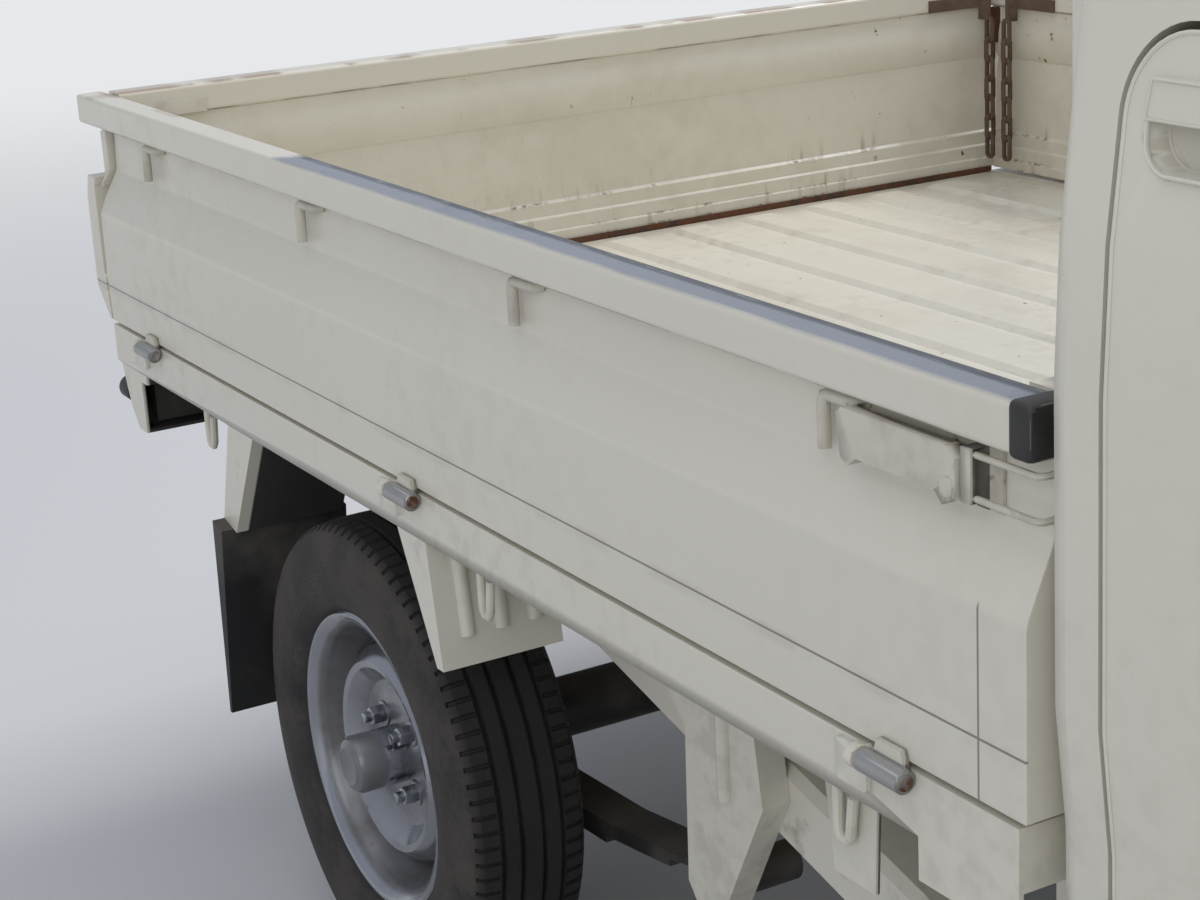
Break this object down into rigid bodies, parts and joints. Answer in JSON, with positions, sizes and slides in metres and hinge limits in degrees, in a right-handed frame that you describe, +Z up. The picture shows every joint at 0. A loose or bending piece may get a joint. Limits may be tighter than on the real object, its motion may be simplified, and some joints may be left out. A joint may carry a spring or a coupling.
{
  "type": "kei truck",
  "caption": "Small cab-over pickup truck with a drop-side bed, live rear axle on leaf springs and steel wheels",
  "frame": {"origin": "on the ground, under the middle of the truck's box", "axes": "+X forward, +Y to the truck's left, +Z up"},
  "size_m": [3.398, 1.732, 1.79],
  "materials": {
    "body_paint": "worn ivory-white paint",
    "gate_paint": "worn ivory-white paint, rusty at the rails",
    "bed_paint": "scratched ivory-white paint",
    "frame_paint": "dusty pale paint",
    "zinc_fittings": "dull zinc with brown rust",
    "black_steel": "dirty black paint",
    "exhaust_steel": "heat-stained, rusty steel",
    "engine_metal": "oily cast aluminium",
    "black_rubber": "matt black rubber",
    "black_plastic": "grained black plastic",
    "tyre_rubber": "dusty brown-black rubber",
    "wheel_silver": "silver paint on steel",
    "clear_glass": "clear safety glass",
    "lamp_lens": "clear lens over a bright bowl",
    "lamp_red": "red and amber lens",
    "bumper_plastic": "grained dark grey plastic",
    "cabin_plastic": "grained grey plastic",
    "seat_vinyl": "grey vinyl and cloth"
  },
  "bodies": {
    "root": {"bed_floor": "bed_paint", "bed_sills": "bed_paint", "cab_floor": "cabin_plastic", "cab_glass": "clear_glass", "cab_shell": "body_paint", "dashboard": "cabin_plastic", "engine": "engine_metal", "exhaust": "exhaust_steel", "frame": "frame_paint", "front_bumper": "bumper_plastic", "front_lamps": "lamp_lens", "front_suspension": "black_steel", "fuel_tank": "black_steel", "headboard": "gate_paint", "leaf_springs": "black_steel", "mudflaps": "black_rubber", "propshaft": "black_steel", "rear_axle": "black_steel", "rear_lamps": "lamp_red", "rear_panel": "bed_paint", "seat_left": "seat_vinyl", "seat_right": "seat_vinyl", "spring_hangers": "bed_paint", "steering_column": "black_steel", "wheel_guards": "bed_paint"},
    "wheel_fl": {"rim_fl": "wheel_silver", "tyre_fl": "tyre_rubber"},
    "wheel_fr": {"rim_fr": "wheel_silver", "tyre_fr": "tyre_rubber"},
    "wheel_rl": {"rim_rl": "wheel_silver", "tyre_rl": "tyre_rubber"},
    "wheel_rr": {"rim_rr": "wheel_silver", "tyre_rr": "tyre_rubber"},
    "knuckle_left": {"knuckle_left": "black_steel"},
    "knuckle_right": {"knuckle_right": "black_steel"},
    "steering_wheel": {"steering_wheel": "cabin_plastic"},
    "door_right": {"door_right": "body_paint", "door_glass_right": "clear_glass", "door_mirror_right": "black_plastic"},
    "door_left": {"door_left": "body_paint", "door_glass_left": "clear_glass", "door_mirror_left": "black_plastic"},
    "gate_right": {"gate_right": "gate_paint", "gate_rail_right": "gate_paint", "gate_fittings_right": "zinc_fittings"},
    "gate_left": {"gate_left": "gate_paint", "gate_rail_left": "gate_paint", "gate_fittings_left": "zinc_fittings"},
    "tailgate": {"tailgate": "gate_paint", "tailgate_rail": "gate_paint", "tailgate_fittings": "zinc_fittings"}
  },
  "joints": [
    {"name": "steer_right", "type": "hinge", "parent": "root", "child": "knuckle_right", "pos_m": [0.899, -0.545, 0.27], "axis": [0, 0, 1], "range_deg": [-35, 35]},
    {"name": "steer_left", "type": "hinge", "parent": "root", "child": "knuckle_left", "pos_m": [0.899, 0.545, 0.27], "axis": [0, 0, 1], "range_deg": [-35, 35]},
    {"name": "steering_turn", "type": "hinge", "parent": "root", "child": "steering_wheel", "pos_m": [0.96, -0.33, 1], "axis": [-0.6429, 0, 0.7659], "range_deg": [-630, 630]},
    {"name": "wheel_fl_spin", "type": "hinge", "parent": "knuckle_left", "child": "wheel_fl", "pos_m": [0.899, 0.65, 0.27], "axis": [0, 1, 0], "continuous": true},
    {"name": "wheel_fr_spin", "type": "hinge", "parent": "knuckle_right", "child": "wheel_fr", "pos_m": [0.899, -0.65, 0.27], "axis": [0, 1, 0], "continuous": true},
    {"name": "wheel_rl_spin", "type": "hinge", "parent": "root", "child": "wheel_rl", "pos_m": [-1.001, 0.65, 0.27], "axis": [0, 1, 0], "continuous": true},
    {"name": "wheel_rr_spin", "type": "hinge", "parent": "root", "child": "wheel_rr", "pos_m": [-1.001, -0.65, 0.27], "axis": [0, 1, 0], "continuous": true},
    {"name": "door_right_swing", "type": "hinge", "parent": "root", "child": "door_right", "pos_m": [1.213, -0.7385, 0.8], "axis": [0, 0, 1], "range_deg": [0, 65]},
    {"name": "door_left_swing", "type": "hinge", "parent": "root", "child": "door_left", "pos_m": [1.213, 0.7385, 0.8], "axis": [0, 0, -1], "range_deg": [0, 65]},
    {"name": "gate_right_drop", "type": "hinge", "parent": "root", "child": "gate_right", "pos_m": [-0.803, -0.745, 0.643], "axis": [1, 0, 0], "range_deg": [0, 172]},
    {"name": "gate_left_drop", "type": "hinge", "parent": "root", "child": "gate_left", "pos_m": [-0.803, 0.745, 0.643], "axis": [-1, 0, 0], "range_deg": [0, 172]},
    {"name": "tailgate_drop", "type": "hinge", "parent": "root", "child": "tailgate", "pos_m": [-1.69, 0, 0.641], "axis": [0, -1, 0], "range_deg": [0, 175]}
  ],
  "couplings": [
    {"joint": "steer_left", "follows": "steer_right", "ratio": 1},
    {"joint": "steering_turn", "follows": "steer_right", "ratio": 18}
  ]
}
